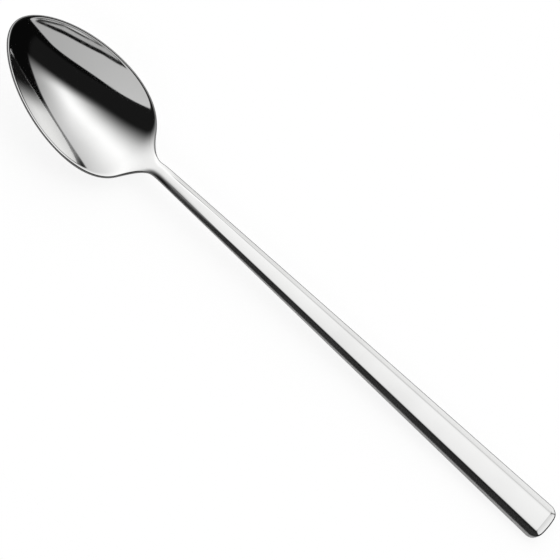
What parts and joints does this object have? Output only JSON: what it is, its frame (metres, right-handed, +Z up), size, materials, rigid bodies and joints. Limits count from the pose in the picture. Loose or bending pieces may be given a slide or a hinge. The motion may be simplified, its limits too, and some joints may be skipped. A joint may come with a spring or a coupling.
{
  "type": "iced tea spoon",
  "caption": "Long-handled spoon for tall glasses: an egg-shaped bowl, a slim neck and a tapered bar handle with planed edges, all in mirror-polished steel.",
  "frame": {"origin": "on the table under the middle of the spoon's overall box, with the spoon lying as it does in use", "axes": "+X from the bowl to the end of the handle, +Y across the spoon, +Z up out of the hollow of the bowl"},
  "size_m": [0.1996, 0.0316, 0.0176],
  "materials": {
    "polished_steel": "polished"
  },
  "bodies": {
    "root": {"bowl": "polished_steel", "neck": "polished_steel", "handle": "polished_steel"}
  },
  "joints": []
}
